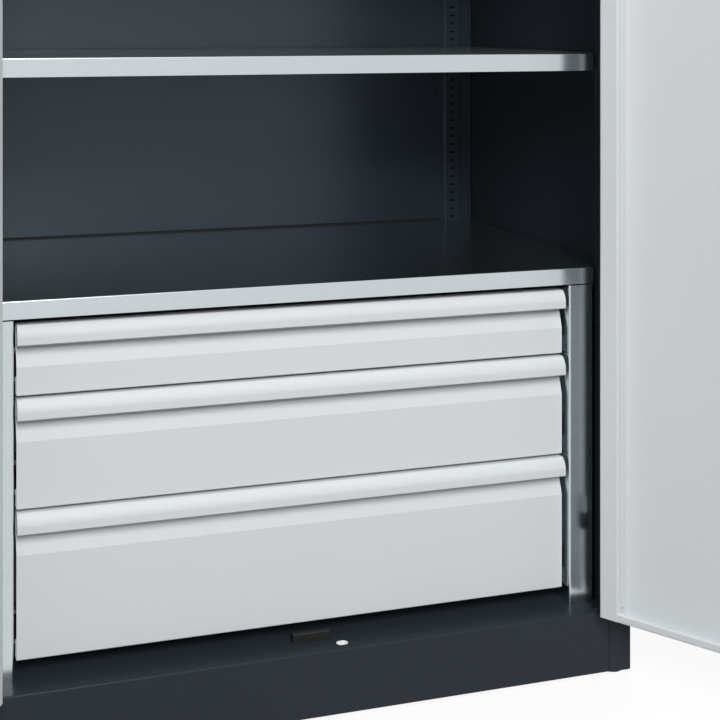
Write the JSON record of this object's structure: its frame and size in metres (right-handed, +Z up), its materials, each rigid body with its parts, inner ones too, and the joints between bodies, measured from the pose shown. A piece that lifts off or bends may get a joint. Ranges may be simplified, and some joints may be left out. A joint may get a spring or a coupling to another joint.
{
  "type": "storage cabinet",
  "caption": "Tall steel cabinet with hinged doors, adjustable galvanised shelves and a block of full-extension drawers with rounded grip lips below them.",
  "frame": {"origin": "on the floor under the middle of the space taken with both doors open, on the cabinet centre line", "axes": "+X to the viewer's right, +Y to the back of the cabinet, +Z up"},
  "size_m": [1.4654, 0.8986, 1.95],
  "materials": {
    "body_paint": "fine satin anthracite powder coat",
    "light_paint": "fine satin light grey powder coat",
    "galvanised_steel": "bright galvanised sheet",
    "zinc_steel": "zinc-plated steel",
    "rubber": "matte black rubber",
    "black_plastic": "matte black plastic",
    "white_plastic": "white moulded nylon",
    "lock_chrome": "plated key cylinder"
  },
  "bodies": {
    "cabinet": {"back_panel": "body_paint", "cover_shelf": "galvanised_steel", "door_stop": "rubber", "drawer_1_outer_slides": "zinc_steel", "drawer_2_outer_slides": "zinc_steel", "drawer_3_outer_slides": "zinc_steel", "drawer_frame_left": "galvanised_steel", "drawer_frame_right": "galvanised_steel", "drawer_frame_tie": "galvanised_steel", "floor_panel": "body_paint", "foot_plates": "zinc_steel", "left_hinge_body_leaves": "zinc_steel", "left_hinge_pins": "zinc_steel", "levelling_feet": "black_plastic", "rear_shelf_rail_left": "body_paint", "rear_shelf_rail_right": "body_paint", "right_hinge_body_leaves": "zinc_steel", "right_hinge_pins": "zinc_steel", "rod_bush": "white_plastic", "roof_panel": "body_paint", "shelf_1": "galvanised_steel", "shelf_2": "galvanised_steel", "shelf_3": "galvanised_steel", "shelf_clips_1": "galvanised_steel", "shelf_clips_2": "galvanised_steel", "shelf_clips_3": "galvanised_steel", "side_panel_left": "body_paint", "side_panel_right": "body_paint"},
    "drawer_1": {"drawer_1_front": "light_paint", "drawer_1_inner_slides": "zinc_steel", "drawer_1_tray": "light_paint"},
    "drawer_1_middle": {"drawer_1_middle_slides": "zinc_steel"},
    "drawer_2": {"drawer_2_front": "light_paint", "drawer_2_inner_slides": "zinc_steel", "drawer_2_tray": "light_paint"},
    "drawer_2_middle": {"drawer_2_middle_slides": "zinc_steel"},
    "drawer_3": {"drawer_3_front": "light_paint", "drawer_3_inner_slides": "zinc_steel", "drawer_3_tray": "light_paint"},
    "drawer_3_middle": {"drawer_3_middle_slides": "zinc_steel"},
    "right_door": {"lock_case": "zinc_steel", "lock_escutcheon": "black_plastic", "lock_rod_guides": "zinc_steel", "right_door_panel": "light_paint", "right_door_stiffener": "light_paint", "right_hinge_door_leaves": "zinc_steel"},
    "left_door": {"left_cover_strip": "light_paint", "left_door_panel": "light_paint", "left_door_stiffener": "light_paint", "left_hinge_door_leaves": "zinc_steel"},
    "lock_lever": {"lock_crank": "zinc_steel", "lock_handle": "black_plastic"},
    "key_cylinder": {"lock_cylinder": "lock_chrome"},
    "lower_rod": {"lock_rod_lower": "zinc_steel"},
    "upper_rod": {"lock_rod_upper": "zinc_steel"}
  },
  "joints": [
    {"name": "right_door_hinge", "type": "hinge", "parent": "cabinet", "child": "right_door", "pos_m": [0.4595, -0.05065, 1.0045], "axis": [0, 0, 1], "range_deg": [-126.8, 8]},
    {"name": "left_door_hinge", "type": "hinge", "parent": "cabinet", "child": "left_door", "pos_m": [-0.4595, -0.05065, 1.0045], "axis": [0, 0, -1], "range_deg": [-126.8, 8]},
    {"name": "drawer_1_slide", "type": "slide", "parent": "cabinet", "child": "drawer_1", "axis": [0, -1, 0], "range_m": [0, 0.4]},
    {"name": "drawer_1_middle_slide", "type": "slide", "parent": "cabinet", "child": "drawer_1_middle", "axis": [0, -1, 0], "range_m": [0, 0.2]},
    {"name": "drawer_2_slide", "type": "slide", "parent": "cabinet", "child": "drawer_2", "axis": [0, -1, 0], "range_m": [0, 0.4]},
    {"name": "drawer_2_middle_slide", "type": "slide", "parent": "cabinet", "child": "drawer_2_middle", "axis": [0, -1, 0], "range_m": [0, 0.2]},
    {"name": "drawer_3_slide", "type": "slide", "parent": "cabinet", "child": "drawer_3", "axis": [0, -1, 0], "range_m": [0, 0.4]},
    {"name": "drawer_3_middle_slide", "type": "slide", "parent": "cabinet", "child": "drawer_3_middle", "axis": [0, -1, 0], "range_m": [0, 0.2]},
    {"name": "handle_turn", "type": "hinge", "parent": "right_door", "child": "lock_lever", "pos_m": [0.72089, -0.38337, 1.05], "axis": [-0.8007, -0.599, 0], "range_deg": [0, 90]},
    {"name": "key_turn", "type": "hinge", "parent": "lock_lever", "child": "key_cylinder", "pos_m": [0.72089, -0.38337, 1.05], "axis": [-0.8007, -0.599, 0], "range_deg": [0, 90]},
    {"name": "lower_rod_slide", "type": "slide", "parent": "right_door", "child": "lower_rod", "axis": [0, 0, -1], "range_m": [0, 0.01273]},
    {"name": "upper_rod_slide", "type": "slide", "parent": "right_door", "child": "upper_rod", "axis": [0, 0, 1], "range_m": [0, 0.01273]}
  ],
  "couplings": [
    {"joint": "drawer_1_middle_slide", "follows": "drawer_1_slide", "ratio": 0.5},
    {"joint": "drawer_2_middle_slide", "follows": "drawer_2_slide", "ratio": 0.5},
    {"joint": "drawer_3_middle_slide", "follows": "drawer_3_slide", "ratio": 0.5},
    {"joint": "handle_turn", "follows": "lower_rod_slide", "rad_per_m": 123.41},
    {"joint": "upper_rod_slide", "follows": "lower_rod_slide", "ratio": 1}
  ]
}
